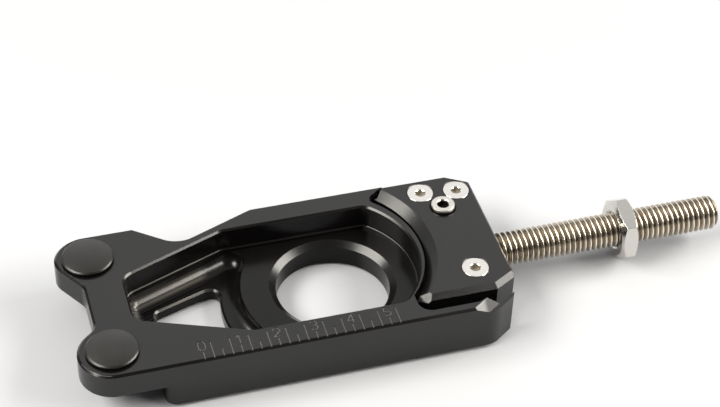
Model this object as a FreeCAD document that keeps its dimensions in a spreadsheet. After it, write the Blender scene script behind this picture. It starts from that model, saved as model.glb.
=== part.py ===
import FreeCAD, Part
import Sketcher
import math
import os

V = FreeCAD.Vector

# Chain adjuster for a swing arm, millimetres.
# Origin: axle bore axis on the base plane. +X towards the threaded stud,
# +Y towards the side away from the scale, +Z up through the axle bore.

DIMS = [
    # body plate
    ("body_height", 12.0), ("flange_bottom", 6.0), ("half_width", 21.4),
    ("edge_chamfer", 0.5), ("base_chamfer", 0.3),
    ("end_face", 37.0), ("foot_left", -41.6), ("foot_corner", 2.5),
    ("foot_far", 16.5), ("foot_step", -37.6),
    ("foot_step_far", "=half_width - (half_width - notch_floor) * (foot_step - notch_left) / (notch_floor_left - notch_left)"),
    ("tongue_left", -47.6), ("tongue_half", 9.6),
    # ears
    ("ear_centre", -51.05), ("ear_offset", 14.1), ("ear_radius", 7.3),
    ("ear_near_leave", 8.4), ("ear_far_leave", 13.65), ("ear_far_round", 5.0),
    ("waist_left", -53.4), ("waist_near", 6.6), ("waist_far", 5.75), ("waist_round", 3.0),
    # far side notch
    ("notch_left", -39.95), ("notch_floor_left", -31.1), ("notch_floor", 14.48),
    ("notch_right", -13.5), ("notch_round", 6.0),
    # end corners
    ("far_cut_start", 30.9), ("far_cut_end", 17.6),
    ("near_cut_start", 30.3), ("near_cut_end", 17.9), ("near_cut_along", 35.3),
    ("near_end_half", 13.5), ("near_cut_round", 5.0), ("near_tip_round", 0.6),
    # sloping facet over the near end corner: its top line, its fall per mm, and
    # the level where it runs out into the low wall beside the block
    ("facet_left_along", 24.6), ("facet_left_across", -21.4),
    ("facet_peak_along", 28.75), ("facet_peak_across", -18.65),
    ("facet_fall", 0.79), ("facet_wall_top", 10.3),
    # upper pocket
    ("pocket_floor", 5.65), ("pocket_ledge", 6.32), ("ledge_step", 0.42),
    ("rim_chamfer", 0.42), ("pocket_radius", 20.37), ("pocket_far", 15.8),
    ("pocket_centre", -1.6), ("pocket_centre_far", 0.2),
    ("pocket_near", -15.2), ("pocket_left", -44.9),
    ("pocket_far_left", 6.84), ("pocket_far_knee", -21.3),
    ("pocket_near_left", -6.1), ("pocket_near_knee", -21.3),
    ("pocket_corner", 3.4), ("knee_round", 3.0), ("ledge_fillet", 0.38),
    ("arc_corner", 3.2),
    # ball nosed pocket beside the bore floor
    ("deep_floor", 2.6), ("ball_radius", 3.15), ("ball_corner", 3.5),
    ("disc_radius", 20.2), ("ball_corner_left", 3.25),
    # window
    ("window_left", -38.9), ("window_left_half", 3.78), ("window_radius", 24.7),
    ("window_half_right", 8.95), ("window_chamfer", 0.45),
    ("window_corner_left", 1.5), ("window_corner_right", 2.2),
    # axle bore
    ("bore_radius", 12.5), ("bore_mouth_radius", 14.0), ("bore_mouth_depth", 1.15),
    # recess for the end block
    ("recess_floor", 1.3), ("lip_centre", -1.6), ("lip_centre_far", 1.1),
    ("lip_radius", 21.65), ("recess_far", 17.66), ("recess_left", 13.95),
    ("recess_near", -19.4), ("recess_knee", 26.9), ("recess_out", 39.0),
    ("recess_bump", 28.7), ("recess_bump_near", -18.62),
    ("recess_turn", 31.9), ("recess_turn_near", -19.5),
    ("recess_out_near", -14.42), ("recess_open_left", 19.66), ("recess_open", 23.0),
    ("recess_corner_far", 1.6), ("recess_corner_lip", 1.0),
    ("recess_corner_near", 3.0), ("recess_bump_round", 0.8), ("recess_turn_round", 0.8),
    # end block
    ("block_bottom", 1.35), ("block_far", 21.15), ("block_near", -15.7),
    ("block_chamfer", 0.5), ("block_end_chamfer", 0.4), ("block_near_chamfer", 1.1),
    ("block_cut_start", 32.3), ("block_cut_end", -13.1),
    ("block_far_cut_start", 31.15), ("block_far_cut_end", 17.6),
    ("block_arc_centre", -3.4), ("block_arc_far", 2.7), ("block_arc_radius", 24.4),
    ("block_arc_top_radius", 26.7), ("block_arc_chamfer", 1.5),
    ("block_tip_left", 15.1), ("block_tip_cut", 16.7), ("block_tip_near", -14.35),
    ("block_far_left", 15.6), ("block_far_left_cut", 17.8), ("block_far_left_near", 18.9),
    ("block_left_start", 12.0),
    # sloping facet on the block's near tip, through three points
    ("tip_top_along", 17.5), ("tip_top_across", -14.3),
    ("tip_left_along", 15.35), ("tip_left_across", -14.0), ("tip_left_height", 10.4),
    ("tip_near_along", 16.85), ("tip_near_across", -15.6), ("tip_near_height", 10.6),
    # stud and nut
    ("stud_height", 6.65), ("stud_radius", 3.9), ("stud_start", 24.0),
    ("stud_end", 90.1), ("stud_end_chamfer", 0.7), ("stud_hole_radius", 4.0),
    ("stud_hole_start", 23.6), ("stud_hole_mouth", 0.45),
    ("nut_start", 65.5), ("nut_thickness", 4.0), ("nut_flats", 13.0),
    ("nut_bore_radius", 3.95), ("nut_angle", 19.0), ("nut_face_ring", 0.6),
    ("nut_mouth", 0.45),
    # countersunk screws
    ("csk_head_radius", 2.95), ("csk_sink_radius", 3.16), ("csk_rim", 0.2),
    ("screw_radius", 1.45), ("screw_clearance", 1.7), ("screw_thread_radius", 1.5),
    ("screw_bottom", 0.25), ("csk_socket_flats", 2.0), ("csk_socket_depth", 1.1),
    ("csk_far_left_along", 25.07), ("csk_far_left_across", 16.91),
    ("csk_far_right_along", 33.24), ("csk_far_right_across", 15.9),
    ("csk_near_along", 29.36), ("csk_near_across", -9.18),
    # cap screw
    ("cap_along", 28.6), ("cap_across", 11.2), ("cap_head_radius", 2.72),
    ("cap_head_top", 13.0), ("cap_head_bottom", 10.0), ("cap_edge", 0.4),
    ("cap_socket_flats", 2.5), ("cap_socket_depth", 1.6),
    ("cap_sink_radius", 2.98), ("cap_sink_floor", 9.95),
    # domed plugs
    ("plug_radius", 5.6), ("plug_rise", 1.9), ("plug_stem_radius", 2.45),
    ("plug_neck_radius", 4.9), ("plug_gap", 0.3), ("plug_side", 0.75),
    ("plug_bottom", 6.4), ("plug_sink_radius", 5.1), ("plug_sink_floor", 9.0),
    ("plug_hole_radius", 2.5),
    # scale
    ("scale_depth", 0.16), ("scale_first", -33.1), ("scale_pitch", 2.0),
    ("scale_long_end", -16.35), ("scale_short_end", -18.75), ("scale_edge", -21.6),
    ("scale_line", 0.26), ("numeral_centre", -17.3), ("numeral_height", 2.3),
    ("numeral_width", 1.45),
]

doc = FreeCAD.newDocument("chain_adjuster")
sheet = doc.addObject("Spreadsheet::Sheet", "dims")
for row, (name, value) in enumerate(DIMS, start=1):
    sheet.set("A%d" % row, name)
    sheet.set("B%d" % row, str(value))
    sheet.setAlias("B%d" % row, name)
doc.recompute()


def val(name):
    sign = 1.0
    if name.startswith("-"):
        sign, name = -1.0, name[1:]
    return sign * float(sheet.get(name))


def ref(name):
    if name.startswith("-"):
        return "-dims." + name[1:]
    return "dims." + name


def plane(body, role):
    for item in body.Origin.OriginFeatures:
        if item.Role == role:
            return item
    raise RuntimeError("no plane " + role)


def new_body(label):
    body = doc.addObject("PartDesign::Body", label)
    body.Label = label
    return body


def new_sketch(body, name, role="XY_Plane", level=None):
    sk = body.newObject("Sketcher::SketchObject", name)
    sk.AttachmentSupport = [(plane(body, role), "")]
    sk.MapMode = "FlatFace"
    if level is not None:
        sk.setExpression(".AttachmentOffset.Base.z", level)
    doc.recompute()
    return sk


def fix_x(sk, geo, pos, name):
    value = val(name)
    if abs(value) < 1e-9:
        sk.addConstraint(Sketcher.Constraint("PointOnObject", geo, pos, -2))
        return
    if value > 0:
        i = sk.addConstraint(Sketcher.Constraint("DistanceX", -1, 1, geo, pos, value))
        sk.setExpression("Constraints[%d]" % i, ref(name))
    else:
        i = sk.addConstraint(Sketcher.Constraint("DistanceX", geo, pos, -1, 1, -value))
        flip = name[1:] if name.startswith("-") else "-" + name
        sk.setExpression("Constraints[%d]" % i, ref(flip))


def fix_y(sk, geo, pos, name):
    value = val(name)
    if abs(value) < 1e-9:
        sk.addConstraint(Sketcher.Constraint("PointOnObject", geo, pos, -1))
        return
    if value > 0:
        i = sk.addConstraint(Sketcher.Constraint("DistanceY", -1, 1, geo, pos, value))
        sk.setExpression("Constraints[%d]" % i, ref(name))
    else:
        i = sk.addConstraint(Sketcher.Constraint("DistanceY", geo, pos, -1, 1, -value))
        flip = name[1:] if name.startswith("-") else "-" + name
        sk.setExpression("Constraints[%d]" % i, ref(flip))


def outline(sk, verts):
    """Closed outline. Each vertex is (x, y, arc): x and y name a cell, or are
    numbers where an arc's radius sets that coordinate. arc describes the edge
    that leaves the vertex: None for a line, or (cx, cy, radius, ccw)."""
    pts = []
    for x, y, arc in verts:
        px = val(x) if isinstance(x, str) else x
        py = val(y) if isinstance(y, str) else y
        pts.append(V(px, py, 0))
    n = len(pts)
    ends = []
    for i, (x, y, arc) in enumerate(verts):
        a, b = pts[i], pts[(i + 1) % n]
        if arc is None:
            g = sk.addGeometry(Part.LineSegment(a, b), False)
            ends.append((g, 1, 2))
        else:
            cx, cy, rad, ccw = arc
            c = V(val(cx) if cx else 0.0, val(cy) if cy else 0.0, 0)
            start, stop = (a, b) if ccw else (b, a)
            t0 = math.atan2(start.y - c.y, start.x - c.x)
            t1 = math.atan2(stop.y - c.y, stop.x - c.x)
            while t1 <= t0:
                t1 += 2 * math.pi
            g = sk.addGeometry(Part.ArcOfCircle(Part.Circle(c, V(0, 0, 1), val(rad)), t0, t1), False)
            ends.append((g, 1, 2) if ccw else (g, 2, 1))
            if cx:
                fix_x(sk, g, 3, cx)
                fix_y(sk, g, 3, cy)
            else:
                sk.addConstraint(Sketcher.Constraint("Coincident", g, 3, -1, 1))
            k = sk.addConstraint(Sketcher.Constraint("Radius", g, val(rad)))
            sk.setExpression("Constraints[%d]" % k, ref(rad))
    for i in range(n):
        g0, s0, e0 = ends[i]
        g1, s1, e1 = ends[(i + 1) % n]
        sk.addConstraint(Sketcher.Constraint("Coincident", g0, e0, g1, s1))
    for i, (x, y, arc) in enumerate(verts):
        g, st, en = ends[i]
        if isinstance(x, str):
            fix_x(sk, g, st, x)
        if isinstance(y, str):
            fix_y(sk, g, st, y)
    doc.recompute()
    if sk.solve() != 0 or not all(w.isClosed() for w in sk.Shape.Wires):
        raise RuntimeError("%s: solver %d" % (sk.Name, sk.solve()))


def circle(sk, cx, cy, rad):
    g = sk.addGeometry(Part.Circle(V(val(cx) if cx else 0, val(cy) if cy else 0, 0), V(0, 0, 1), val(rad)), False)
    if cx:
        fix_x(sk, g, 3, cx)
    if cy:
        fix_y(sk, g, 3, cy)
    if not cx and not cy:
        sk.addConstraint(Sketcher.Constraint("Coincident", g, 3, -1, 1))
    elif not cy:
        sk.addConstraint(Sketcher.Constraint("PointOnObject", g, 3, -1))
    elif not cx:
        sk.addConstraint(Sketcher.Constraint("PointOnObject", g, 3, -2))
    k = sk.addConstraint(Sketcher.Constraint("Radius", g, val(rad)))
    sk.setExpression("Constraints[%d]" % k, ref(rad))
    doc.recompute()


def check(obj):
    if "Invalid" in obj.State or "Error" in obj.State or obj.Shape.isNull() or not obj.Shape.isValid():
        raise RuntimeError("%s failed: %s" % (obj.Name, obj.State))


def pad(body, sk, name, length):
    f = body.newObject("PartDesign::Pad", name)
    f.Profile = sk
    f.setExpression("Length", length)
    sk.Visibility = False
    doc.recompute()
    check(f)
    return f


def pocket(body, sk, name, depth=None):
    before = body.Shape.Volume
    f = body.newObject("PartDesign::Pocket", name)
    f.Profile = sk
    if depth is None:
        f.Type = "ThroughAll"
        f.Midplane = True
    else:
        f.setExpression("Length", depth)
    sk.Visibility = False
    doc.recompute()
    check(f)
    if not f.Shape.Volume < before - 1e-3:
        raise RuntimeError(name + " cuts nothing")
    return f


def names(shape, edges):
    out = []
    for i, e in enumerate(shape.Edges):
        if any(e.isSame(w) for w in edges):
            out.append("Edge%d" % (i + 1))
    return out


def upright(shape, x, y, tol=0.3, low=None, high=None):
    """The upright straight edges that stand at x, y."""
    found = []
    for e in shape.Edges:
        if len(e.Vertexes) != 2:
            continue
        a, b = e.Vertexes[0].Point, e.Vertexes[1].Point
        if abs(a.x - b.x) > 1e-4 or abs(a.y - b.y) > 1e-4 or abs(a.z - b.z) < 0.2:
            continue
        if math.hypot(a.x - x, a.y - y) > tol:
            continue
        if low is not None and max(a.z, b.z) < low:
            continue
        if high is not None and min(a.z, b.z) > high:
            continue
        found.append(e)
    if not found:
        raise RuntimeError("no upright edge at %s %s" % (x, y))
    return found


def level(shape, z, test=None):
    """The edges that lie at height z."""
    found = []
    for e in shape.Edges:
        p = [e.valueAt(e.FirstParameter + (e.LastParameter - e.FirstParameter) * k / 4.0) for k in range(5)]
        if all(abs(q.z - z) < 1e-4 for q in p) and (test is None or all(test(q) for q in p)):
            found.append(e)
    return found


def dress(body, kind, name, edges, size):
    base = body.Tip
    f = body.newObject("PartDesign::" + kind, name)
    f.Base = (base, names(base.Shape, edges))
    prop = "Radius" if kind == "Fillet" else "Size"
    f.setExpression(prop, size)
    doc.recompute()
    check(f)
    return f


# ---------------------------------------------------------------- main body
mb = new_body("body_machined")

# upper plate with the two ears and the notch in its far side
sk = new_sketch(mb, "plate_outline", level="dims.flange_bottom")
outline(sk, [
    ("ear_centre", 21.4, None),
    ("notch_left", "half_width", None),
    ("notch_floor_left", "notch_floor", None),
    ("notch_right", "half_width", None),
    ("far_cut_start", "half_width", None),
    ("end_face", "far_cut_end", None),
    ("end_face", "-near_end_half", None),
    ("near_cut_along", "-near_cut_end", None),
    ("near_cut_start", "-half_width", None),
    ("ear_centre", -21.4, ("ear_centre", "-ear_offset", "ear_radius", False)),
    (-55.6, "-ear_near_leave", None),
    ("waist_left", "-waist_near", None),
    ("waist_left", "waist_far", None),
    (-58.336, "ear_far_leave", ("ear_centre", "ear_offset", "ear_radius", False)),
])
pad(mb, sk, "plate", "dims.body_height - dims.flange_bottom")

# lower block that stands on the swing arm, and the tongue under the pocket's end
sk = new_sketch(mb, "foot_outline")
outline(sk, [
    ("foot_left", "foot_far", None),
    ("foot_step", "foot_step_far", None),
    ("notch_floor_left", "notch_floor", None),
    ("notch_right", "half_width", None),
    ("far_cut_start", "half_width", None),
    ("end_face", "far_cut_end", None),
    ("end_face", "-near_end_half", None),
    ("near_cut_along", "-near_cut_end", None),
    ("near_cut_start", "-half_width", None),
    ("foot_left", "-half_width", None),
    ("foot_left", "-tongue_half", None),
    ("tongue_left", "-tongue_half", None),
    ("tongue_left", "tongue_half", None),
    ("foot_left", "tongue_half", None),
])
pad(mb, sk, "foot", "dims.flange_bottom")

s = mb.Tip.Shape
dress(mb, "Fillet", "notch_rounding", upright(s, val("notch_floor_left"), val("notch_floor")), "dims.notch_round")
s = mb.Tip.Shape
dress(mb, "Fillet", "near_end_rounding", upright(s, val("near_cut_start"), -val("half_width")), "dims.near_cut_round")
s = mb.Tip.Shape
dress(mb, "Fillet", "near_tip_rounding", upright(s, val("near_cut_along"), -val("near_cut_end")), "dims.near_tip_round")
s = mb.Tip.Shape
dress(mb, "Fillet", "waist_rounding", upright(s, val("waist_left"), val("waist_far")) + upright(s, val("waist_left"), -val("waist_near")), "dims.waist_round")
s = mb.Tip.Shape
dress(mb, "Fillet", "far_ear_rounding", upright(s, -58.336, val("ear_far_leave"), 0.15), "dims.ear_far_round")
s = mb.Tip.Shape
dress(mb, "Fillet", "foot_rounding", upright(s, val("foot_left"), -val("half_width")) + upright(s, val("tongue_left"), val("tongue_half")) + upright(s, val("tongue_left"), -val("tongue_half")), "dims.foot_corner")

# edge chamfer round the whole top outline, and a smaller one round the base
s = mb.Tip.Shape
dress(mb, "Chamfer", "top_edge_chamfer", level(s, val("body_height")), "dims.edge_chamfer")
s = mb.Tip.Shape
dress(mb, "Chamfer", "base_edge_chamfer", level(s, 0.0), "dims.base_chamfer")


def pocket_outline(sk, inset):
    """The pocket's outline, moved inwards by inset. Line ends follow the
    wall's own directions, so the ledge below keeps one width."""
    r = val("pocket_radius") - inset
    cx, cy = val("pocket_centre"), val("pocket_centre_far")
    far, near, left = val("pocket_far") - inset, val("pocket_near") + inset, val("pocket_left") + inset

    def moved(ax, ay, bx, by, side):
        d = math.hypot(bx - ax, by - ay)
        nx, ny = -(by - ay) / d * side * inset, (bx - ax) / d * side * inset
        return ax + nx, ay + ny, (by - ay) / (bx - ax)
    fx, fy, fs = moved(val("pocket_left"), val("pocket_far_left"), val("pocket_far_knee"), val("pocket_far"), -1)
    qx, qy, qs = moved(val("pocket_left"), val("pocket_near_left"), val("pocket_near_knee"), val("pocket_near"), 1)
    return [V(left, fy + (left - fx) * fs, 0), V(fx + (far - fy) / fs, far, 0), V(cx + math.sqrt(r * r - (far - cy) ** 2), far, 0),
            V(cx + math.sqrt(r * r - (near - cy) ** 2), near, 0), V(qx + (near - qy) / qs, near, 0), V(left, qy + (left - qx) * qs, 0)], r


def fixed_outline(sk, pts, arcs):
    """Closed outline through worked out points: block constraints hold them.
    arcs maps an edge's index to (cx, cy, radius)."""
    n = len(pts)
    for i in range(n):
        a, b = pts[i], pts[(i + 1) % n]
        if i in arcs:
            cx, cy, r, ccw = arcs[i]
            start, stop = (a, b) if ccw else (b, a)
            t0 = math.atan2(start.y - cy, start.x - cx)
            t1 = math.atan2(stop.y - cy, stop.x - cx)
            while t1 <= t0:
                t1 += 2 * math.pi
            g = sk.addGeometry(Part.ArcOfCircle(Part.Circle(V(cx, cy, 0), V(0, 0, 1), r), t0, t1), False)
        else:
            g = sk.addGeometry(Part.LineSegment(a, b), False)
        sk.addConstraint(Sketcher.Constraint("Block", g))
    doc.recompute()


# axle nut pocket, upper step
sk = new_sketch(mb, "pocket_upper", level="dims.body_height")
xf = val("pocket_centre") + math.sqrt(val("pocket_radius") ** 2 - (val("pocket_far") - val("pocket_centre_far")) ** 2)
xn = val("pocket_centre") + math.sqrt(val("pocket_radius") ** 2 - (val("pocket_near") - val("pocket_centre_far")) ** 2)
outline(sk, [
    ("pocket_left", "pocket_far_left", None),
    ("pocket_far_knee", "pocket_far", None),
    (xf, "pocket_far", ("pocket_centre", "pocket_centre_far", "pocket_radius", False)),
    (xn, "pocket_near", None),
    ("pocket_near_knee", "pocket_near", None),
    ("pocket_left", "pocket_near_left", None),
])
pocket(mb, sk, "axle_nut_pocket", "dims.body_height - dims.pocket_ledge")
s = mb.Tip.Shape
dress(mb, "Fillet", "pocket_corner_rounding", upright(s, val("pocket_left"), val("pocket_far_left")) + upright(s, val("pocket_left"), val("pocket_near_left")), "dims.pocket_corner")
s = mb.Tip.Shape
dress(mb, "Fillet", "pocket_knee_rounding", upright(s, val("pocket_far_knee"), val("pocket_far")) + upright(s, val("pocket_near_knee"), val("pocket_near")), "dims.knee_round")
s = mb.Tip.Shape
dress(mb, "Fillet", "pocket_arc_rounding", upright(s, xf, val("pocket_far")) + upright(s, xn, val("pocket_near")), "dims.arc_corner")


def inside_pocket(q):
    if q.x > 19.5 or q.x < -45.2:
        return False
    slope = (val("pocket_far") - val("pocket_far_left")) / (val("pocket_far_knee") - val("pocket_left"))
    far = min(val("pocket_far"), val("pocket_far_left") + slope * (q.x - val("pocket_left")))
    return q.y < far + 0.3 and q.y > -16.4


s = mb.Tip.Shape
dress(mb, "Chamfer", "pocket_rim_chamfer", level(s, val("body_height"), inside_pocket), "dims.rim_chamfer")
s = mb.Tip.Shape
dress(mb, "Fillet", "pocket_foot_fillet", level(s, val("pocket_ledge"), inside_pocket), "dims.ledge_fillet")

# lower step of the pocket, down to the floor round the bore
sk = new_sketch(mb, "pocket_lower", level="dims.pocket_ledge")
pts, rad = pocket_outline(sk, val("ledge_step"))


def corner_arc(a, b, c, r):
    """Tangent arc of radius r at corner b: its two ends and its centre."""
    u, w = (a - b).normalize(), (c - b).normalize()
    half = u.getAngle(w) / 2
    p, q = b + u * (r / math.tan(half)), b + w * (r / math.tan(half))
    return p, q, b + (u + w).normalize() * (r / math.sin(half))


rl = val("pocket_corner") - val("ledge_step")
rk = val("knee_round") + val("ledge_step")
a0, b0, c0 = corner_arc(pts[5], pts[0], pts[1], rl)
a1, b1, c1 = corner_arc(pts[0], pts[1], pts[2], rk)
a4, b4, c4 = corner_arc(pts[3], pts[4], pts[5], rk)
a5, b5, c5 = corner_arc(pts[4], pts[5], pts[0], rl)
fixed_outline(sk, [a0, b0, a1, b1, pts[2], pts[3], a4, b4, a5, b5],
              {0: (c0.x, c0.y, rl, False), 2: (c1.x, c1.y, rk, False), 4: (val("pocket_centre"), val("pocket_centre_far"), rad, False),
               6: (c4.x, c4.y, rk, False), 8: (c5.x, c5.y, rl, False)})
pocket(mb, sk, "bore_floor_pocket", "dims.pocket_ledge - dims.pocket_floor")

# ball nosed pocket left of the bore floor, its cutter as a body of its own
tool = new_body("ball_cutter")
sk = new_sketch(tool, "ball_cutter_outline", level="dims.deep_floor")
rd = val("disc_radius")
c2 = val("ball_corner")


def corner_on_disc(ax, ay, bx, by):
    """Where a cutter of radius ball_corner touches both the wall a-b and the disc."""
    d = math.hypot(bx - ax, by - ay)
    tx, ty = (bx - ax) / d, (by - ay) / d
    off = ax * ty - ay * tx
    nx, ny = (ty, -tx) if off > 0 else (-ty, tx)
    off = abs(off)
    along = -math.sqrt((rd + c2) ** 2 - (off - c2) ** 2)
    cx, cy = nx * (off - c2) + tx * along, ny * (off - c2) + ty * along
    wall = V(cx + nx * c2, cy + ny * c2, 0)
    k = rd / (rd + c2)
    return V(cx, cy, 0), wall, V(cx * k, cy * k, 0)


cf, wf, df = corner_on_disc(pts[0].x, pts[0].y, pts[1].x, pts[1].y)
cn, wn, dn = corner_on_disc(pts[5].x, pts[5].y, pts[4].x, pts[4].y)
fixed_outline(sk, [pts[0], wf, df, dn, wn, pts[5]],
              {1: (cf.x, cf.y, c2, False), 2: (0, 0, rd, True), 3: (cn.x, cn.y, c2, False)})
pad(tool, sk, "ball_cutter_prism", "dims.body_height - dims.deep_floor - 2")
s = tool.Tip.Shape
dress(tool, "Fillet", "ball_cutter_corners", upright(s, pts[0].x, pts[0].y) + upright(s, pts[5].x, pts[5].y), "dims.ball_corner_left")
s = tool.Tip.Shape
dress(tool, "Fillet", "ball_cutter_nose", level(s, val("deep_floor")), "dims.ball_radius")

before = mb.Shape.Volume
cut = mb.newObject("PartDesign::Boolean", "ball_nosed_pocket")
cut.addObjects([tool])
cut.Type = "Cut"
doc.recompute()
check(cut)
mb.Tip = cut
doc.recompute()
if not mb.Shape.Volume < before - 100:
    raise RuntimeError("ball nosed pocket cuts nothing")

# window through the deep floor
sk = new_sketch(mb, "window_outline", level="dims.deep_floor")
half = val("window_half_right")
xr = -math.sqrt(val("window_radius") ** 2 - half ** 2)
outline(sk, [
    ("window_left", "window_left_half", None),
    (xr, "window_half_right", (None, None, "window_radius", True)),
    (xr, "-window_half_right", None),
    ("window_left", "-window_left_half", None),
])
pocket(mb, sk, "window", "dims.deep_floor + 1")
s = mb.Tip.Shape
dress(mb, "Fillet", "window_left_rounding", upright(s, val("window_left"), val("window_left_half")) + upright(s, val("window_left"), -val("window_left_half")), "dims.window_corner_left")
s = mb.Tip.Shape
dress(mb, "Fillet", "window_right_rounding", upright(s, xr, half) + upright(s, xr, -half), "dims.window_corner_right")
s = mb.Tip.Shape
dress(mb, "Chamfer", "window_chamfer_top", level(s, val("deep_floor"), lambda q: q.x > -39.2 and q.x < -22.5 and abs(q.y) < 9.4 and math.hypot(q.x, q.y) > 24.6), "dims.window_chamfer")

# axle bore with its conical mouth
sk = new_sketch(mb, "bore_circle", level="dims.pocket_floor")
circle(sk, None, None, "bore_radius")
pocket(mb, sk, "axle_bore", "dims.pocket_floor + 1")
cone = mb.newObject("PartDesign::SubtractiveCone", "bore_mouth")
cone.setExpression("Radius1", "dims.bore_radius")
cone.setExpression("Radius2", "dims.bore_mouth_radius")
cone.setExpression("Height", "dims.bore_mouth_depth")
cone.AttachmentSupport = [(plane(mb, "XY_Plane"), "")]
cone.MapMode = "FlatFace"
cone.setExpression(".AttachmentOffset.Base.z", "dims.pocket_floor - dims.bore_mouth_depth")
doc.recompute()
check(cone)

# recess that takes the end block, open to the far side and the end
sk = new_sketch(mb, "recess_outline", level="dims.body_height")
xa = val("lip_centre") + math.sqrt(val("lip_radius") ** 2 - (val("recess_far") - val("lip_centre_far")) ** 2)
ya = val("lip_centre_far") - math.sqrt(val("lip_radius") ** 2 - (val("recess_left") - val("lip_centre")) ** 2)
outline(sk, [
    ("recess_open_left", "recess_open", None),
    (xa, "recess_far", ("lip_centre", "lip_centre_far", "lip_radius", False)),
    ("recess_left", ya, None),
    ("recess_left", "recess_near", None),
    ("recess_knee", "recess_near", None),
    ("recess_bump", "recess_bump_near", None),
    ("recess_turn", "recess_turn_near", None),
    ("recess_out", "recess_out_near", None),
    ("recess_out", "recess_open", None),
])
pocket(mb, sk, "block_recess", "dims.body_height - dims.recess_floor")
s = mb.Tip.Shape
dress(mb, "Fillet", "recess_far_rounding", upright(s, xa, val("recess_far")), "dims.recess_corner_far")
s = mb.Tip.Shape
dress(mb, "Fillet", "recess_lip_rounding", upright(s, val("recess_left"), ya), "dims.recess_corner_lip")
s = mb.Tip.Shape
dress(mb, "Fillet", "recess_near_rounding", upright(s, val("recess_left"), val("recess_near")), "dims.recess_corner_near")
s = mb.Tip.Shape
dress(mb, "Fillet", "recess_bump_rounding", upright(s, val("recess_bump"), val("recess_bump_near")), "dims.recess_bump_round")
s = mb.Tip.Shape
dress(mb, "Fillet", "recess_turn_rounding", upright(s, val("recess_turn"), val("recess_turn_near")), "dims.recess_turn_round")

# ear counterbores and stem holes for the domed plugs
for side, tag in (("ear_offset", "far"), ("-ear_offset", "near")):
    sk = new_sketch(mb, "plug_sink_%s_circle" % tag, level="dims.body_height")
    circle(sk, "ear_centre", side, "plug_sink_radius")
    pocket(mb, sk, "plug_sink_" + tag, "dims.body_height - dims.plug_sink_floor")
    sk = new_sketch(mb, "plug_hole_%s_circle" % tag, level="dims.body_height")
    circle(sk, "ear_centre", side, "plug_hole_radius")
    pocket(mb, sk, "plug_hole_" + tag, "dims.body_height - dims.flange_bottom + 1")

# tapped holes in the recess floor
SCREWS = [("csk_far_left_along", "csk_far_left_across"), ("csk_far_right_along", "csk_far_right_across"),
          ("csk_near_along", "csk_near_across"), ("cap_along", "cap_across")]
for k, (cx, cy) in enumerate(SCREWS):
    sk = new_sketch(mb, "floor_thread_%d_circle" % (k + 1), level="dims.recess_floor")
    circle(sk, cx, cy, "screw_thread_radius")
    pocket(mb, sk, "floor_thread_%d" % (k + 1), "dims.recess_floor + 1")

# engraved scale lines, long and short, each patterned along the near edge
for tag, end, start in (("long", "scale_long_end", 1), ("short", "scale_short_end", 0)):
    sk = new_sketch(mb, "scale_%s_line" % tag, level="dims.body_height")
    x0 = val("scale_first") + start * val("scale_pitch") - val("scale_line") / 2
    x1 = x0 + val("scale_line")
    fixed_outline(sk, [V(x0, val("scale_edge"), 0), V(x1, val("scale_edge"), 0), V(x1, val(end), 0), V(x0, val(end), 0)], {})
    first = pocket(mb, sk, "scale_%s" % tag, "dims.scale_depth")
    row = mb.newObject("PartDesign::LinearPattern", "scale_%s_row" % tag)
    row.Originals = [first]
    row.Direction = (sk, ["H_Axis"])
    row.setExpression("Length", "dims.scale_pitch * 20")
    row.Occurrences = 11
    doc.recompute()
    check(row)
    mb.Tip = row
    doc.recompute()

# numerals 0 to 5 as engraved strokes, height and stroke from the sheet
HALF = val("numeral_width") / 2
TALL = val("numeral_height") / 2
STROKES = {
    "0": [[(-1, -0.55), (-1, 0.55), (-0.5, 1), (0.5, 1), (1, 0.55), (1, -0.55), (0.5, -1), (-0.5, -1), (-1, -0.55)]],
    "1": [[(-0.7, 0.55), (0.1, 1), (0.1, -1)]],
    "2": [[(-1, 0.55), (-0.5, 1), (0.5, 1), (1, 0.6), (1, 0.2), (-1, -1), (1, -1)]],
    "3": [[(-1, 0.7), (-0.4, 1), (0.5, 1), (1, 0.65), (1, 0.35), (0.4, 0.05), (-0.2, 0.05)],
          [(0.4, 0.05), (1, -0.3), (1, -0.65), (0.5, -1), (-0.4, -1), (-1, -0.7)]],
    "4": [[(0.5, -1), (0.5, 1), (-1, -0.4), (1, -0.4)]],
    "5": [[(0.9, 1), (-0.8, 1), (-0.9, 0.1), (0.3, 0.2), (1, -0.15), (1, -0.6), (0.4, -1), (-0.4, -1), (-1, -0.7)]],
}
w = val("scale_line") / 2
zt = val("body_height")
marks = []
for digit in range(6):
    cx = val("scale_first") + 4 * val("scale_pitch") * digit
    cy = val("numeral_centre")
    for line in STROKES[str(digit)]:
        path = [V(cx + a * HALF, cy + b * TALL, zt - val("scale_depth")) for a, b in line]
        for i in range(len(path) - 1):
            a, b = path[i], path[i + 1]
            d = (b - a).normalize()
            side = V(-d.y, d.x, 0) * w
            face = Part.Face(Part.makePolygon([a + side, b + side, b - side, a - side, a + side]))
            marks.append(face.extrude(V(0, 0, 1)))
        for p in path:
            marks.append(Part.makeCylinder(w, 1.0, p))
numerals = doc.addObject("Part::Feature", "scale_numerals")
numerals.Shape = marks[0].multiFuse(marks[1:]).removeSplitter()
numerals.Placement = FreeCAD.Placement()

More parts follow.
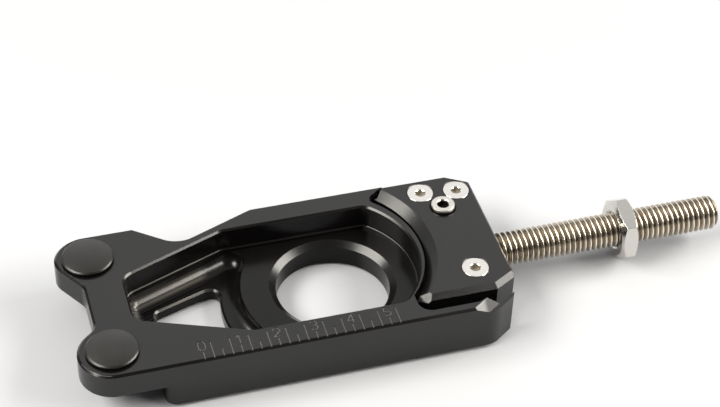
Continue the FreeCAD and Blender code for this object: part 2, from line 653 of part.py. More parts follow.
# sloping corner facet: a bar laid along the facet's top line, its section sloping
# down from that line and then level over the low wall
zt, zw = val("body_height"), val("facet_wall_top")
start = V(val("facet_left_along"), val("facet_left_across"), 0)
along = (V(val("facet_peak_along"), val("facet_peak_across"), 0) - start).normalize()
out = V(along.y, -along.x, 0)
start = start - along * 3
section = [start + out * d + V(0, 0, z) for d, z in
           ((0, zt), ((zt - zw) / val("facet_fall"), zw), (9, zw), (9, zt + 1), (-val("facet_fall"), zt + 1))]
wedge = doc.addObject("Part::Feature", "corner_wedge")
wedge.Shape = Part.Face(Part.makePolygon(section + [section[0]])).extrude(along * 24)
trimmed = doc.addObject("Part::Cut", "corner_facets")
trimmed.Base = mb
trimmed.Tool = wedge
doc.recompute()
check(trimmed)

main = doc.addObject("Part::Cut", "main_body_cut")
main.Base = trimmed
main.Tool = numerals
main.Label = "main_body"
doc.recompute()

# ---------------------------------------------------------------- end block
eb = new_body("end_block")
sk = new_sketch(eb, "block_outline", level="dims.block_bottom")
outline(sk, [
    ("block_far_left_cut", "block_far", None),
    ("block_far_cut_start", "block_far", None),
    ("end_face", "block_far_cut_end", None),
    ("end_face", "block_cut_end", None),
    ("block_cut_start", "block_near", None),
    ("block_tip_cut", "block_near", None),
    ("block_tip_left", "block_tip_near", None),
    ("block_left_start", "block_tip_near", None),
    ("block_left_start", "block_far_left_near", None),
    ("block_far_left", "block_far_left_near", None),
])
pad(eb, sk, "block", "dims.body_height - dims.block_bottom")


s = eb.Tip.Shape
dress(eb, "Chamfer", "block_end_chamfer", level(s, val("body_height"), lambda q: q.x > val("end_face") - 0.01), "dims.block_end_chamfer")
s = eb.Tip.Shape
dress(eb, "Chamfer", "block_far_chamfer", level(s, val("body_height"), lambda q: q.y > val("block_far") - 0.01), "dims.block_chamfer")
s = eb.Tip.Shape
dress(eb, "Chamfer", "block_near_chamfer", level(s, val("body_height"), lambda q: q.y < val("block_near") + 0.01 or (q.x > 31.5 and q.y < -11.9)), "dims.block_near_chamfer")

# hollow face that clears the pocket's lip, with its wide conical chamfer
sk = new_sketch(eb, "block_arc_circle", level="dims.body_height")
circle(sk, "block_arc_centre", "block_arc_far", "block_arc_radius")
pocket(eb, sk, "block_arc", "dims.body_height - dims.block_bottom + 1")
cone = eb.newObject("PartDesign::SubtractiveCone", "block_arc_chamfer")
cone.setExpression("Radius1", "dims.block_arc_radius")
cone.setExpression("Radius2", "dims.block_arc_top_radius")
cone.setExpression("Height", "dims.block_arc_chamfer")
cone.AttachmentSupport = [(plane(eb, "XY_Plane"), "")]
cone.MapMode = "FlatFace"
cone.setExpression(".AttachmentOffset.Base.x", "dims.block_arc_centre")
cone.setExpression(".AttachmentOffset.Base.y", "dims.block_arc_far")
cone.setExpression(".AttachmentOffset.Base.z", "dims.body_height - dims.block_arc_chamfer")
doc.recompute()
check(cone)

# sloping facet on the near tip
tip = eb.newObject("PartDesign::SubtractiveBox", "block_tip_facet")
tip.Length, tip.Width, tip.Height = 8, 6, 5
ta = V(val("tip_top_along"), val("tip_top_across"), val("body_height"))
tb = V(val("tip_left_along"), val("tip_left_across"), val("tip_left_height"))
tc = V(val("tip_near_along"), val("tip_near_across"), val("tip_near_height"))
n2 = (tb - ta).cross(tc - ta).normalize()
if n2.z < 0:
    n2 = n2 * -1
f1 = V(n2.y, -n2.x, 0).normalize()
f2 = n2.cross(f1)
tip.Placement = FreeCAD.Placement(ta - f1 * 4 - f2 * (6 if f2.z > 0 else 0), FreeCAD.Rotation(f1, f2, n2, "ZXY"))
doc.recompute()
check(tip)

# tapped hole for the stud
hole = eb.newObject("PartDesign::SubtractiveCylinder", "stud_hole")
hole.setExpression("Radius", "dims.stud_hole_radius")
hole.setExpression("Height", "dims.end_face - dims.stud_hole_start + 1")
hole.AttachmentSupport = [(plane(eb, "YZ_Plane"), "")]
hole.MapMode = "FlatFace"
hole.setExpression(".AttachmentOffset.Base.y", "dims.stud_height")
hole.setExpression(".AttachmentOffset.Base.z", "dims.stud_hole_start")
doc.recompute()
check(hole)
s = eb.Tip.Shape
mouth = [e for e in s.Edges if isinstance(e.Curve, Part.Circle) and abs(e.Curve.Radius - val("stud_hole_radius")) < 1e-4 and abs(e.Vertexes[0].Point.x - val("end_face")) < 1e-3]
dress(eb, "Chamfer", "stud_hole_mouth", mouth, "dims.stud_hole_mouth")

# screw holes: clearance bores, countersinks, and the cap screw's counterbore
for k, (cx, cy) in enumerate(SCREWS):
    sk = new_sketch(eb, "screw_hole_%d_circle" % (k + 1), level="dims.body_height")
    circle(sk, cx, cy, "screw_clearance")
    pocket(eb, sk, "screw_hole_%d" % (k + 1), "dims.body_height")
for k, (cx, cy) in enumerate(SCREWS[:3]):
    sink = eb.newObject("PartDesign::SubtractiveCone", "countersink_%d" % (k + 1))
    sink.setExpression("Radius1", "dims.screw_clearance")
    sink.setExpression("Radius2", "dims.csk_sink_radius")
    sink.setExpression("Height", "dims.csk_sink_radius - dims.screw_clearance")
    sink.AttachmentSupport = [(plane(eb, "XY_Plane"), "")]
    sink.MapMode = "FlatFace"
    sink.setExpression(".AttachmentOffset.Base.x", ref(cx))
    sink.setExpression(".AttachmentOffset.Base.y", ref(cy))
    sink.setExpression(".AttachmentOffset.Base.z", "dims.body_height - dims.csk_sink_radius + dims.screw_clearance")
    doc.recompute()
    check(sink)
sk = new_sketch(eb, "cap_sink_circle", level="dims.body_height")
circle(sk, "cap_along", "cap_across", "cap_sink_radius")
pocket(eb, sk, "cap_sink", "dims.body_height - dims.cap_sink_floor")


# ---------------------------------------------------------------- turned pieces
def revolved(label, profile, along="z"):
    """A turned piece: profile is (radius, height) pairs of numbers worked out
    from the sheet, closed along the axis."""
    body = new_body(label)
    sk = new_sketch(body, label + "_profile", "XZ_Plane")
    fixed_outline(sk, [V(a, b, 0) for a, b in profile], {})
    f = body.newObject("PartDesign::Revolution", label + "_turned")
    f.Profile = sk
    f.ReferenceAxis = (sk, ["V_Axis"])
    f.Angle = 360
    doc.recompute()
    check(f)
    return body


def hexagon(flats, turn=0.0):
    r = flats / math.sqrt(3.0)
    return [V(r * math.cos(math.radians(60 * k + turn)), r * math.sin(math.radians(60 * k + turn)), 0) for k in range(6)]


def socket(body, name, flats, depth, top, turn):
    sk = new_sketch(body, name + "_hexagon", level=top)
    fixed_outline(sk, hexagon(val(flats), turn), {})
    pocket(body, sk, name, depth)
    mouth = body.newObject("PartDesign::SubtractiveCone", name + "_mouth")
    mouth.Radius1 = val(flats) / 2
    mouth.Radius2 = val(flats) / math.sqrt(3.0) + 0.06
    mouth.Height = val(flats) / math.sqrt(3.0) + 0.06 - val(flats) / 2
    mouth.AttachmentSupport = [(plane(body, "XY_Plane"), "")]
    mouth.MapMode = "FlatFace"
    mouth.setExpression(".AttachmentOffset.Base.z", top + " - %.6f" % (val(flats) / math.sqrt(3.0) + 0.06 - val(flats) / 2))
    doc.recompute()
    check(mouth)


def countersunk(label, cx, cy, turn):
    top, rh, rs, rim = val("body_height"), val("csk_head_radius"), val("screw_radius"), val("csk_rim")
    body = revolved(label, [(0, val("screw_bottom")), (rs - 0.3, val("screw_bottom")), (rs, val("screw_bottom") + 0.3),
                            (rs, top - rim - (rh - rs)), (rh, top - rim), (rh, top - 0.07), (rh - 0.07, top), (0, top)])
    socket(body, label + "_socket", "csk_socket_flats", "dims.csk_socket_depth", "dims.body_height", turn)
    body.setExpression(".Placement.Base.x", ref(cx))
    body.setExpression(".Placement.Base.y", ref(cy))
    doc.recompute()
    return body


csk1 = countersunk("countersunk_screw_far_left", "csk_far_left_along", "csk_far_left_across", 12.0)
csk2 = countersunk("countersunk_screw_far_right", "csk_far_right_along", "csk_far_right_across", 25.0)
csk3 = countersunk("countersunk_screw_near", "csk_near_along", "csk_near_across", 40.0)

rc, rs, ct, cb, ce = val("cap_head_radius"), val("screw_radius"), val("cap_head_top"), val("cap_head_bottom"), val("cap_edge")
cap = revolved("cap_screw", [(0, val("screw_bottom")), (rs - 0.3, val("screw_bottom")), (rs, val("screw_bottom") + 0.3),
                             (rs, cb), (rc - 0.1, cb), (rc, cb + 0.1), (rc, ct - ce), (rc - ce * 0.3, ct - ce * 0.3), (rc - ce, ct), (0, ct)])
socket(cap, "cap_socket", "cap_socket_flats", "dims.cap_socket_depth", "dims.cap_head_top", 30.0)
cap.setExpression(".Placement.Base.x", "dims.cap_along")
cap.setExpression(".Placement.Base.y", "dims.cap_across")
doc.recompute()

# threaded stud, plain here at its outside diameter
rt, ch = val("stud_radius"), val("stud_end_chamfer")
stud = revolved("threaded_stud", [(0, val("stud_start")), (rt - ch, val("stud_start")), (rt, val("stud_start") + ch),
                                  (rt, val("stud_end") - ch), (rt - ch, val("stud_end")), (0, val("stud_end"))])
stud.Placement = FreeCAD.Placement(V(0, 0, val("stud_height")), FreeCAD.Rotation(V(0, 1, 0), 90))

# lock nut: hexagon with both faces chamfered, bore with chamfered mouths
nut = new_body("lock_nut")
sk = new_sketch(nut, "nut_hexagon", level="dims.nut_start")
fixed_outline(sk, hexagon(val("nut_flats"), 0.0), {})
pad(nut, sk, "nut_prism", "dims.nut_thickness")
sk = new_sketch(nut, "nut_bore_circle", level="dims.nut_start + dims.nut_thickness")
circle(sk, None, None, "nut_bore_radius")
pocket(nut, sk, "nut_bore", "dims.nut_thickness + 1")
n0, n1 = val("nut_start"), val("nut_start") + val("nut_thickness")
rcorner = val("nut_flats") / math.sqrt(3.0)
rflat = val("nut_flats") / 2 - val("nut_face_ring")
cone_h = (rcorner + 0.5 - rflat) * math.tan(math.radians(30))
for tag, z0, flip in (("inner", n0, False), ("outer", n1, True)):
    sk = new_sketch(nut, "nut_%s_chamfer_profile" % tag, "XZ_Plane")
    dz = -cone_h if flip else cone_h
    oz = 0.5 if flip else -0.5
    fixed_outline(sk, [V(rflat, z0, 0), V(rcorner + 0.5, z0 + dz, 0), V(rcorner + 0.5, z0 + oz, 0), V(rflat, z0 + oz, 0)], {})
    g = nut.newObject("PartDesign::Groove", "nut_%s_chamfer" % tag)
    g.Profile = sk
    g.ReferenceAxis = (sk, ["V_Axis"])
    g.Angle = 360
    doc.recompute()
    check(g)
s = nut.Tip.Shape
mouths = [e for e in s.Edges if isinstance(e.Curve, Part.Circle) and abs(e.Curve.Radius - val("nut_bore_radius")) < 1e-4]
dress(nut, "Chamfer", "nut_bore_mouths", mouths, "dims.nut_mouth")
lay = FreeCAD.Rotation(V(0, 1, 0), V(0, 0, 1), V(1, 0, 0), "ZXY")
nut.Placement = FreeCAD.Placement(V(0, 0, val("stud_height")), FreeCAD.Rotation(V(1, 0, 0), val("nut_angle")).multiply(lay))


# domed plugs pressed in the ears
def plug(label, side):
    rp, rise, top = val("plug_radius"), val("plug_rise"), val("body_height")
    neck, gap, side_top = val("plug_neck_radius"), val("plug_gap"), val("plug_side")
    a, h = rp - 0.3, rise - side_top - 0.25
    rad = (a * a + h * h) / (2 * h)
    body = new_body(label)
    sk = new_sketch(body, label + "_profile", "XZ_Plane")
    low = val("plug_sink_floor")
    pts = [V(0, val("plug_bottom"), 0), V(val("plug_stem_radius") - 0.3, val("plug_bottom"), 0), V(val("plug_stem_radius"), val("plug_bottom") + 0.3, 0),
           V(val("plug_stem_radius"), low, 0), V(neck - 0.3, low, 0), V(neck, low + 0.3, 0), V(neck, top + gap, 0),
           V(rp - 0.15, top + gap, 0), V(rp, top + gap + 0.15, 0), V(rp, top + side_top, 0), V(a, top + side_top + 0.25, 0), V(0, top + rise, 0)]
    fixed_outline(sk, pts, {10: (0, top + rise - rad, rad, True)})
    f = body.newObject("PartDesign::Revolution", label + "_turned")
    f.Profile = sk
    f.ReferenceAxis = (sk, ["V_Axis"])
    f.Angle = 360
    doc.recompute()
    check(f)
    body.setExpression(".Placement.Base.x", "dims.ear_centre")
    body.setExpression(".Placement.Base.y", ref(side))
    doc.recompute()
    return body


plug_far = plug("domed_plug_far", "ear_offset")
plug_near = plug("domed_plug_near", "-ear_offset")
doc.recompute()

# ---------------------------------------------------------------- write the pieces
PIECES = [main, eb, csk1, csk2, csk3, cap, stud, nut, plug_far, plug_near]
for obj in doc.Objects:
    if "Invalid" in obj.State or "Error" in obj.State:
        raise RuntimeError("%s: %s" % (obj.Name, obj.State))
for piece in PIECES:
    if piece.Shape.isNull() or not piece.Shape.isValid():
        raise RuntimeError(piece.Label + " has no valid shape")
os.makedirs("parts", exist_ok=True)
for piece in PIECES:
    shape = piece.Shape
    print("%-30s solids %d volume %9.1f  x %7.2f %7.2f  y %7.2f %7.2f  z %6.2f %6.2f" % (
        piece.Label, len(shape.Solids), shape.Volume, shape.BoundBox.XMin, shape.BoundBox.XMax,
        shape.BoundBox.YMin, shape.BoundBox.YMax, shape.BoundBox.ZMin, shape.BoundBox.ZMax))
    shape.exportStep("parts/" + piece.Label + ".step")
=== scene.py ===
import bpy
import bmesh
import math
from mathutils import Matrix, Vector


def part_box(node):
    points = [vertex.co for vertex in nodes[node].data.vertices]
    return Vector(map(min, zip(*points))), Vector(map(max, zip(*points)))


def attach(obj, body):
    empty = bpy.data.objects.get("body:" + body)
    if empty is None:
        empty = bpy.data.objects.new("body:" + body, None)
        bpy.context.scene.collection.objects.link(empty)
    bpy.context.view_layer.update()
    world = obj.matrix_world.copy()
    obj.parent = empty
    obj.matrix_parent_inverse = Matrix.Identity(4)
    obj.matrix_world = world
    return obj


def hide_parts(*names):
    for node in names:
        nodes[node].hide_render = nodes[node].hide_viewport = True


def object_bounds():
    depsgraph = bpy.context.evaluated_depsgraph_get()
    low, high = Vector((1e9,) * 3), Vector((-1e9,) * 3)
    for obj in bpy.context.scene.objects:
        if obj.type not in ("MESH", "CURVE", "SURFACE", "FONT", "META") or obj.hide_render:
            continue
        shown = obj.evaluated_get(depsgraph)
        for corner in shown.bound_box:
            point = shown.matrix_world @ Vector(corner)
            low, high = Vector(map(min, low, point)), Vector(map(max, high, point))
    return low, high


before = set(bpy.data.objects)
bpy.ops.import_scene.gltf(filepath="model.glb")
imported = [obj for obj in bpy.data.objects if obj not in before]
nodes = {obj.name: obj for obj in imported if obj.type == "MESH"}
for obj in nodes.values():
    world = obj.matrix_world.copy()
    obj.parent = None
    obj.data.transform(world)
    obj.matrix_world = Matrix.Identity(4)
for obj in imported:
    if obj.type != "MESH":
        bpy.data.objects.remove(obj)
cad_box = [list(v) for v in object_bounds()]
scene = bpy.context.scene
MM = 0.001


# ---------------------------------------------------------------- node helpers
def new_material(name):
    mat = bpy.data.materials.new(name)
    mat.use_nodes = True
    nt = mat.node_tree
    for n in list(nt.nodes):
        nt.nodes.remove(n)
    out = nt.nodes.new("ShaderNodeOutputMaterial")
    bsdf = nt.nodes.new("ShaderNodeBsdfPrincipled")
    nt.links.new(bsdf.outputs[0], out.inputs[0])
    return mat, nt, bsdf


class Net:
    """Short names for the shader nodes used below. Lengths are in metres."""

    def __init__(self, nt):
        self.nt = nt
        self.place = nt.nodes.new("ShaderNodeTexCoord").outputs["Object"]

    def link(self, a, b):
        if isinstance(a, (int, float)):
            b.default_value = a
        elif isinstance(a, (tuple, list)):
            b.default_value = a
        else:
            self.nt.links.new(a, b)

    def math(self, op, a, b=0.0, c=0.0, clamp=False):
        n = self.nt.nodes.new("ShaderNodeMath")
        n.operation = op
        n.use_clamp = clamp
        self.link(a, n.inputs[0])
        self.link(b, n.inputs[1])
        self.link(c, n.inputs[2])
        return n.outputs[0]

    def split(self, v):
        n = self.nt.nodes.new("ShaderNodeSeparateXYZ")
        self.link(v, n.inputs[0])
        return n.outputs[0], n.outputs[1], n.outputs[2]

    def join(self, x, y, z):
        n = self.nt.nodes.new("ShaderNodeCombineXYZ")
        self.link(x, n.inputs[0])
        self.link(y, n.inputs[1])
        self.link(z, n.inputs[2])
        return n.outputs[0]

    def noise(self, scale, detail=3.0, rough=0.55, vector=None, distort=0.0):
        n = self.nt.nodes.new("ShaderNodeTexNoise")
        n.inputs["Scale"].default_value = scale
        n.inputs["Detail"].default_value = detail
        n.inputs["Roughness"].default_value = rough
        n.inputs["Distortion"].default_value = distort
        self.link(vector if vector is not None else self.place, n.inputs["Vector"])
        return n.outputs["Fac"]

    def scaled(self, x, y, z, vector=None):
        n = self.nt.nodes.new("ShaderNodeMapping")
        n.inputs["Scale"].default_value = (x, y, z)
        self.link(vector if vector is not None else self.place, n.inputs["Vector"])
        return n.outputs[0]

    def step(self, v, low, high, a=0.0, b=1.0):
        """a below low, b above high, straight between."""
        n = self.nt.nodes.new("ShaderNodeMapRange")
        n.clamp = True
        self.link(v, n.inputs["Value"])
        n.inputs["From Min"].default_value = low
        n.inputs["From Max"].default_value = high
        n.inputs["To Min"].default_value = a
        n.inputs["To Max"].default_value = b
        return n.outputs[0]

    def colour(self, fac, a, b):
        n = self.nt.nodes.new("ShaderNodeMix")
        n.data_type = "RGBA"
        self.link(fac, n.inputs[0])
        self.link(a if not isinstance(a, tuple) else (*a, 1.0), n.inputs[6])
        self.link(b if not isinstance(b, tuple) else (*b, 1.0), n.inputs[7])
        return n.outputs[2]

    def bump(self, height, distance, strength=1.0, normal=None):
        n = self.nt.nodes.new("ShaderNodeBump")
        n.inputs["Strength"].default_value = strength
        n.inputs["Distance"].default_value = distance
        self.link(height, n.inputs["Height"])
        if normal is not None:
            self.link(normal, n.inputs["Normal"])
        return n.outputs[0]

    def rounded(self, radius):
        n = self.nt.nodes.new("ShaderNodeBevel")
        n.samples = 4
        n.inputs["Radius"].default_value = radius
        return n.outputs[0]

    def normal(self):
        return self.nt.nodes.new("ShaderNodeNewGeometry").outputs["Normal"]


# ---------------------------------------------------------------- finishes
# the pocket's slanted far wall runs in this direction, seen from above
SLANT = math.atan2(15.8 - 6.84, -21.3 + 44.9)
SLANT_SIN, SLANT_COS = math.sin(SLANT), math.cos(SLANT)


def anodised(name, tone=1.0, machined=True):
    """Black anodised aluminium: near black, satin, with a faint mottle, fine cutter lines on the slanted faces, paler
    worn lines in the engraving, and a painted highlight on the pocket groove's slope."""
    mat, nt, bsdf = new_material(name)
    n = Net(nt)
    x, y, z = n.split(n.place)
    mottle = n.noise(1400.0, 3.0, 0.55)
    cloud = n.noise(60.0, 3.0, 0.5)
    both = n.math("ADD", n.math("MULTIPLY", mottle, 0.5), n.math("MULTIPLY", cloud, 0.5))
    fac = n.step(both, 0.35, 0.68)
    base = n.colour(fac, (0.0024 * tone, 0.0021 * tone, 0.0021 * tone), (0.0046 * tone, 0.0041 * tone, 0.0041 * tone))
    if machined:
        # engraved scale: the cut lies just under the top face along the near edge
        deep = n.math("MULTIPLY", n.step(z, 11.80 * MM, 11.83 * MM), n.step(z, 11.86 * MM, 11.90 * MM, 1.0, 0.0))
        strip = n.step(y, -16.2 * MM, -15.9 * MM, 1.0, 0.0)
        inside = n.step(y, -20.95 * MM, -20.85 * MM, 0.0, 1.0)
        mark = n.math("MULTIPLY", n.math("MULTIPLY", deep, strip), inside)
        base = n.colour(mark, base, (0.13, 0.125, 0.117))
    # slanted faces (chamfers): turned lines on the round ones, milled lines on
    # the ones that face the near edge, long scallops along the pocket's groove
    gx, gy, gz = n.split(n.normal())
    slant = n.math("MULTIPLY", n.step(gz, 0.22, 0.35), n.step(gz, 0.90, 0.97, 1.0, 0.0))
    near = n.math("MULTIPLY", slant, n.step(gy, -0.70, -0.64, 1.0, 0.0))
    near = n.math("MULTIPLY", near, n.step(gz, 0.60, 0.66))
    milled = n.math("MULTIPLY", n.math("SINE", n.math("MULTIPLY", x, 2.0 * math.pi / (0.37 * MM))), near)
    angle = n.math("ARCTAN2", y, x)
    if machined:
        far_out = n.math("SQRT", n.math("ADD", n.math("MULTIPLY", x, x), n.math("MULTIPLY", y, y)))
        ring = n.math("MULTIPLY", slant, n.step(far_out, 14.2 * MM, 14.6 * MM, 1.0, 0.0))
        turned = n.math("MULTIPLY", n.math("SINE", n.math("MULTIPLY", angle, 168.0)), ring)
        milled = n.math("MULTIPLY", milled, n.step(x, 10.0 * MM, 16.0 * MM, 0.12, 0.7))
        across = n.math("ADD", n.math("MULTIPLY", x, -SLANT_SIN), n.math("MULTIPLY", y, SLANT_COS))
        bay = n.math("MULTIPLY", n.step(x, -27.0 * MM, -25.0 * MM, 1.0, 0.0), n.step(z, 8.2 * MM, 8.8 * MM, 1.0, 0.0))
        bay = n.math("MULTIPLY", n.math("MULTIPLY", bay, n.step(y, 1.0 * MM, 2.0 * MM)), n.step(gz, 0.25, 0.45))
        scallop = n.math("MULTIPLY", n.math("SINE", n.math("MULTIPLY", across, 2.0 * math.pi / (0.95 * MM))), bay)
        lines = n.math("ADD", n.math("MULTIPLY", turned, 0.5), n.math("MULTIPLY", milled, 3.0))
        lines = n.math("ADD", lines, n.math("MULTIPLY", scallop, 5.0))
        # painted highlight: the groove's slope, a scalloped cut, gets a paler base colour, strongest on the scallop
        # ridges, painted in for the broad highlight of the light boxes
        painted_highlight_band = n.math("MULTIPLY", bay, n.step(gz, 0.90, 0.985, 1.0, 0.0))
        base = n.colour(n.math("MULTIPLY", painted_highlight_band, n.step(scallop, -1.0, 1.0, 0.45, 1.0)), base, (0.062, 0.057, 0.048))
    else:
        turned = n.math("MULTIPLY", n.math("SINE", n.math("MULTIPLY", angle, 336.0)), n.math("MULTIPLY", slant, n.step(gx, -0.3, -0.2, 1.0, 0.0)))
        lines = n.math("ADD", n.math("MULTIPLY", turned, 0.5), n.math("MULTIPLY", milled, 3.4))
    nt.links.new(base, bsdf.inputs["Base Color"])
    grain = n.noise(2600.0, 2.0, 0.6)
    rough = n.step(n.math("ADD", n.math("MULTIPLY", grain, 0.5), n.math("MULTIPLY", cloud, 0.5)), 0.3, 0.7, 0.19, 0.26)
    nt.links.new(rough, bsdf.inputs["Roughness"])
    bsdf.inputs["Metallic"].default_value = 0.0
    bsdf.inputs["IOR"].default_value = 1.46
    # the pocket floor is a duller cut than the top
    sunk = n.math("MULTIPLY", n.step(z, 6.2 * MM, 6.6 * MM, 1.0, 0.0), n.step(gz, 0.85, 0.95))
    if machined:
        wall = n.math("MULTIPLY", n.step(n.math("ABSOLUTE", gz), 0.10, 0.2, 1.0, 0.0), n.step(z, 11.45 * MM, 11.6 * MM, 1.0, 0.0))
        wall = n.math("MULTIPLY", n.math("MULTIPLY", wall, n.step(y, 3.0 * MM, 4.0 * MM)), n.step(gy, -0.75, -0.6, 1.0, 0.0))
        sunk = n.math("MAXIMUM", sunk, n.math("MULTIPLY", wall, 1.25))
        # the facet over the near end corner is duller too
        facet = n.math("MULTIPLY", n.step(x, 27.5 * MM, 28.5 * MM), n.step(y, -17.5 * MM, -16.5 * MM, 1.0, 0.0))
        facet = n.math("MULTIPLY", facet, slant)
        sunk = n.math("MAXIMUM", sunk, n.math("MULTIPLY", facet, 1.25))
    nt.links.new(n.step(sunk, 0.0, 1.25, 0.5, 0.17), bsdf.inputs["Specular IOR Level"])
    edge = n.rounded(0.09 * MM)
    fine = n.bump(n.math("ADD", grain, n.math("MULTIPLY", lines, 1.6)), 0.0030 * MM, 0.6, edge)
    nt.links.new(fine, bsdf.inputs["Normal"])
    return mat


def steel(name, light, dark, rough=(0.12, 0.18), scale=1500.0, stretch=(1, 1, 1), socket=None, bump=0.0012, edge=0.12):
    """Bright stainless: nearly even colour with a faint drawn grain; socket is (floor z, rim z, colour) in mm for
    painted shade inside a drive socket, the colour painted in below the rim."""
    mat, nt, bsdf = new_material(name)
    n = Net(nt)
    v = n.scaled(*stretch)
    fine = n.noise(scale, 3.0, 0.55, v)
    cloud = n.noise(scale * 0.1, 2.0, 0.5)
    fac = n.step(n.math("ADD", n.math("MULTIPLY", fine, 0.5), n.math("MULTIPLY", cloud, 0.5)), 0.3, 0.7)
    base = n.colour(fac, dark, light)
    if socket is not None:
        x, y, z = n.split(n.place)
        # painted shade: below the socket rim the base colour turns to the socket colour, standing in for the shade in
        # the recess
        low = n.step(z, socket[0] * MM, socket[1] * MM, 1.0, 0.0)
        base = n.colour(low, base, socket[2])
    nt.links.new(base, bsdf.inputs["Base Color"])
    bsdf.inputs["Metallic"].default_value = 1.0
    sheen = n.step(fine, 0.35, 0.65, rough[0], rough[1])
    if socket is not None:
        sheen = n.math("MAXIMUM", sheen, n.math("MULTIPLY", low, socket[3]))
    nt.links.new(sheen, bsdf.inputs["Roughness"])
    nt.links.new(n.bump(fine, bump * MM, 0.4, n.rounded(edge * MM)), bsdf.inputs["Normal"])
    return mat


body_black = anodised("anodised_black_body")
block_black = anodised("anodised_black_block", 0.95, False)
# the countersunk sockets' golden-brown is painted shade with a warm painted reflection; the cap screw's near black
# socket is painted shade
screw_pale = steel("screw_stainless", (0.685, 0.665, 0.635), (0.615, 0.595, 0.565), (0.15, 0.2), 1500.0, (1, 1, 1), (11.4, 11.85, (0.40, 0.37, 0.31), 0.7))
cap_pale = steel("cap_screw_stainless", (0.66, 0.64, 0.60), (0.60, 0.58, 0.545), (0.30, 0.36), 1500.0, (1, 1, 1), (12.2, 12.75, (0.06, 0.052, 0.04), 0.4))
nut_pale = steel("nut_stainless", (0.66, 0.64, 0.605), (0.60, 0.58, 0.545), (0.10, 0.16), 1200.0, edge=0.16)


def stud_finish(axis_height, major, minor):
    """Rolled stainless thread: warm flanks, with a painted highlight on the crests and painted shade in the roots."""
    mat, nt, bsdf = new_material("stud_stainless")
    n = Net(nt)
    x, y, z = n.split(n.place)
    h = n.math("SUBTRACT", z, axis_height)
    r = n.math("SQRT", n.math("ADD", n.math("MULTIPLY", y, y), n.math("MULTIPLY", h, h)))
    fine = n.noise(900.0, 2.0, 0.5, n.scaled(1, 0.3, 0.3))
    cloud = n.noise(160.0, 2.0, 0.5)
    flank = n.colour(n.step(cloud, 0.35, 0.65), (0.45, 0.38, 0.285), (0.56, 0.485, 0.375))
    depth = major - minor
    # painted shade: the colour darkens towards the thread roots
    low = n.colour(n.step(r, minor + 0.10 * depth, minor + 0.42 * depth), (0.21, 0.165, 0.115), flank)
    # painted highlight: the crests are painted pale
    crest = n.math("MULTIPLY", n.step(r, minor + 0.80 * depth, minor + 0.96 * depth), n.step(fine, 0.25, 0.6, 0.85, 1.0))
    base = n.colour(crest, low, (0.88, 0.86, 0.82))
    nt.links.new(base, bsdf.inputs["Base Color"])
    bsdf.inputs["Metallic"].default_value = 1.0
    nt.links.new(n.step(fine, 0.35, 0.65, 0.20, 0.27), bsdf.inputs["Roughness"])
    return mat


def plug_finish():
    mat, nt, bsdf = new_material("plug_dark_satin")
    n = Net(nt)
    cloud = n.noise(250.0, 3.0, 0.5)
    fine = n.noise(2400.0, 3.0, 0.6)
    base = n.colour(n.step(n.math("ADD", n.math("MULTIPLY", cloud, 0.5), n.math("MULTIPLY", fine, 0.5)), 0.36, 0.64),
                    (0.0046, 0.0044, 0.0034), (0.0092, 0.0088, 0.0072))
    nt.links.new(base, bsdf.inputs["Base Color"])
    nt.links.new(n.step(fine, 0.35, 0.65, 0.29, 0.35), bsdf.inputs["Roughness"])
    bsdf.inputs["IOR"].default_value = 1.48
    nt.links.new(n.bump(fine, 0.003 * MM, 0.5, n.rounded(0.16 * MM)), bsdf.inputs["Normal"])
    return mat


plug_dark = plug_finish()


def paint(name, mat):
    data = nodes[name].data
    data.materials.clear()
    data.materials.append(mat)


paint("main_body", body_black)
paint("end_block", block_black)
for tag in ("far_left", "far_right", "near"):
    paint("countersunk_screw_" + tag, screw_pale)
paint("cap_screw", cap_pale)
paint("lock_nut", nut_pale)
paint("domed_plug_far", plug_dark)
paint("domed_plug_near", plug_dark)


# ---------------------------------------------------------------- threaded stud
def add_piece(name, bm, mat, body):
    mesh = bpy.data.meshes.new(name)
    bm.to_mesh(mesh)
    bm.free()
    obj = bpy.data.objects.new(name, mesh)
    scene.collection.objects.link(obj)
    mesh.materials.append(mat)
    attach(obj, body)
    return obj


def thread_radius(u, major, minor):
    """Radius over one pitch, u from 0 to 1: rounded crest, straight flanks, rounded root."""
    crest, root = 0.13, 0.16
    d = abs(u - 0.5) * 2.0
    if d < crest:
        k = d / crest
        return major - 0.02 * MM * k * k
    if d > 1.0 - root:
        k = (1.0 - d) / root
        return minor + 0.05 * MM * k * k
    k = (d - crest) / (1.0 - root - crest)
    return (major - 0.02 * MM) * (1.0 - k) + (minor + 0.05 * MM) * k


lo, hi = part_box("threaded_stud")
axis_z = (lo.z + hi.z) / 2
MAJOR = (hi.z - lo.z) / 2 - 0.002 * MM
MINOR = MAJOR - 0.69 * MM
PITCH = 1.25 * MM


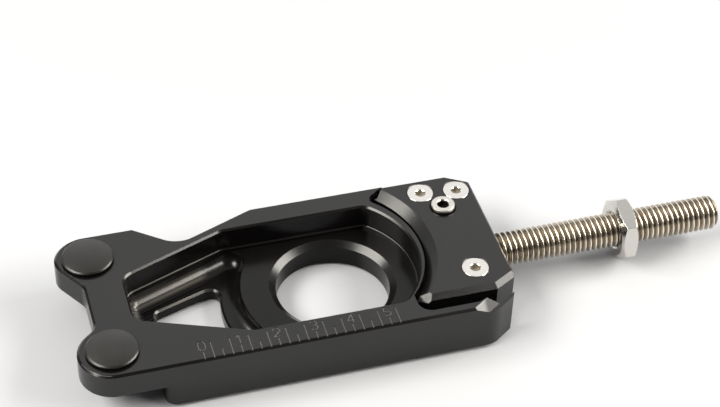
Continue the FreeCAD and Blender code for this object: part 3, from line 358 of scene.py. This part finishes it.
def make_stud():
    bm = bmesh.new()
    around, along = ((56, 12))
    x0, x1 = lo.x, hi.x
    turns = int(math.ceil((x1 - x0) / PITCH)) + 1
    cut = 0.75 * MM
    rows = turns * along
    rings = []
    for i in range(rows + 1):
        ring = []
        for j in range(around):
            # a helix: rows advance one pitch a turn, clamped to the stud's two ends
            xx = x0 - PITCH + (i / along + j / around) * PITCH
            u = (i / along) % 1.0
            r = thread_radius(u, MAJOR, MINOR)
            xc = min(max(xx, x0), x1)
            limit = MAJOR - cut + min(xc - x0, x1 - xc) * 1.0
            r = min(r, limit)
            a = 2 * math.pi * j / around
            ring.append(bm.verts.new((xc, r * math.cos(a), axis_z + r * math.sin(a))))
        rings.append(ring)
    # the helix is one strip: ring i's last point joins ring i+1's first point
    for i in range(rows):
        for j in range(around):
            k = (j + 1) % around
            step = along if k == 0 else 0
            a, b = i, i + 1
            if b + step > rows or a + step > rows:
                continue
            bm.faces.new((rings[a][j], rings[b][j], rings[b + step][k], rings[a + step][k]))
    bm.normal_update()
    bmesh.ops.remove_doubles(bm, verts=bm.verts, dist=0.0005 * MM)
    loose = [v for v in bm.verts if not v.link_faces]
    bmesh.ops.delete(bm, geom=loose, context="VERTS")
    return bm


def closed_ends(bm):
    holes = [e for e in bm.edges if e.is_boundary]
    made = bmesh.ops.holes_fill(bm, edges=holes, sides=0)
    return made["faces"]


stud_warm = stud_finish(axis_z, MAJOR, MINOR)
bm = make_stud()
closed_ends(bm)
bmesh.ops.recalc_face_normals(bm, faces=bm.faces)
for f in bm.faces:
    f.smooth = True
stud = add_piece("threaded_stud_thread", bm, stud_warm, "adjuster")
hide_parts("threaded_stud")

# ---------------------------------------------------------------- floor, light, camera
bm = bmesh.new()
floor_z = cad_box[0][2] - 0.02 * MM
size = 4.0
verts = [bm.verts.new((sx * size, sy * size, floor_z)) for sx, sy in ((-1, -1), (1, -1), (1, 1), (-1, 1))]
bm.faces.new(verts)
mesh = bpy.data.meshes.new("floor")
bm.to_mesh(mesh)
bm.free()
floor = bpy.data.objects.new("floor", mesh)
scene.collection.objects.link(floor)
mat, nt, bsdf = new_material("pale_floor")
bsdf.inputs["Base Color"].default_value = (0.455, 0.464, 0.486, 1.0)
bsdf.inputs["Roughness"].default_value = 0.9
bsdf.inputs["Specular IOR Level"].default_value = 0.0
mesh.materials.append(mat)

world = bpy.data.worlds.new("studio")
scene.world = world
world.use_nodes = True
wt = world.node_tree
for k in list(wt.nodes):
    wt.nodes.remove(k)
wout = wt.nodes.new("ShaderNodeOutputWorld")
back = wt.nodes.new("ShaderNodeBackground")
wt.links.new(back.outputs[0], wout.inputs[0])
w = Net(wt)
dirn = wt.nodes.new("ShaderNodeTexCoord").outputs["Generated"]


def lobe(direction, low, high, level):
    """A soft patch of sky round a direction: level inside, nothing outside."""
    d = Vector(direction).normalized()
    n = wt.nodes.new("ShaderNodeVectorMath")
    n.operation = "DOT_PRODUCT"
    wt.links.new(dirn, n.inputs[0])
    n.inputs[1].default_value = d
    return w.step(n.outputs["Value"], low, high, 0.0, level)


sky = w.math("ADD", 0.13, lobe((0.18, 0.72, 0.66), 0.55, 0.93, 1.15))
wt.links.new(sky, back.inputs["Strength"])
back.inputs["Color"].default_value = (1.0, 0.995, 0.985, 1.0)


def softbox(name, direction, dist, wide, tall, power, tint=(1.0, 1.0, 1.0), aim=(0, 0, 0.006)):
    d = Vector(direction).normalized()
    light = bpy.data.lights.new(name, "AREA")
    light.shape = "RECTANGLE"
    light.size, light.size_y = wide, tall
    light.energy = power
    light.color = tint
    obj = bpy.data.objects.new(name, light)
    scene.collection.objects.link(obj)
    obj.location = Vector(aim) + d * dist
    q = (-d).to_track_quat("-Z", "Y")
    obj.rotation_mode = "QUATERNION"
    obj.rotation_quaternion = q
    obj.visible_camera = False
    return obj


# radiance of a flat area light is power / (pi * area)
def power(radiance, wide, tall):
    return radiance * math.pi * wide * tall


softbox("right_box", (0.78, -0.20, 0.53), 0.9, 0.84, 0.32, power(16.0, 0.84, 0.32), tint=(1.0, 0.965, 0.895))
softbox("left_box", (-0.70, 0.0, 0.715), 0.9, 0.76, 0.37, power(15.0, 0.76, 0.37), tint=(1.0, 0.965, 0.895))

cam_data = bpy.data.cameras.new("camera")
cam = bpy.data.objects.new("camera", cam_data)
scene.collection.objects.link(cam)
cam_data.sensor_width = 36.0
cam_data.sensor_fit = "HORIZONTAL"
cam_data.lens = 1922.609 / 720.0 * 36.0
right = Vector((0.9596434170040165, -0.2796299406335734, 0.029859814167525367))
down = Vector((-0.16526374264429705, -0.6466736765039285, -0.7446482736729412))
ahead = Vector((0.2275355083674952, 0.7096620691696549, -0.666788827151287))
rows = Matrix((right, -down, -ahead)).transposed()
cam.matrix_world = Matrix.Translation(Vector((-87.02, -288.58, 298.98)) * MM) @ rows.to_4x4()
cam_data.clip_start, cam_data.clip_end = 0.01, 20.0
scene.camera = cam
scene.view_settings.view_transform = "Standard"
scene.view_settings.look = "None"
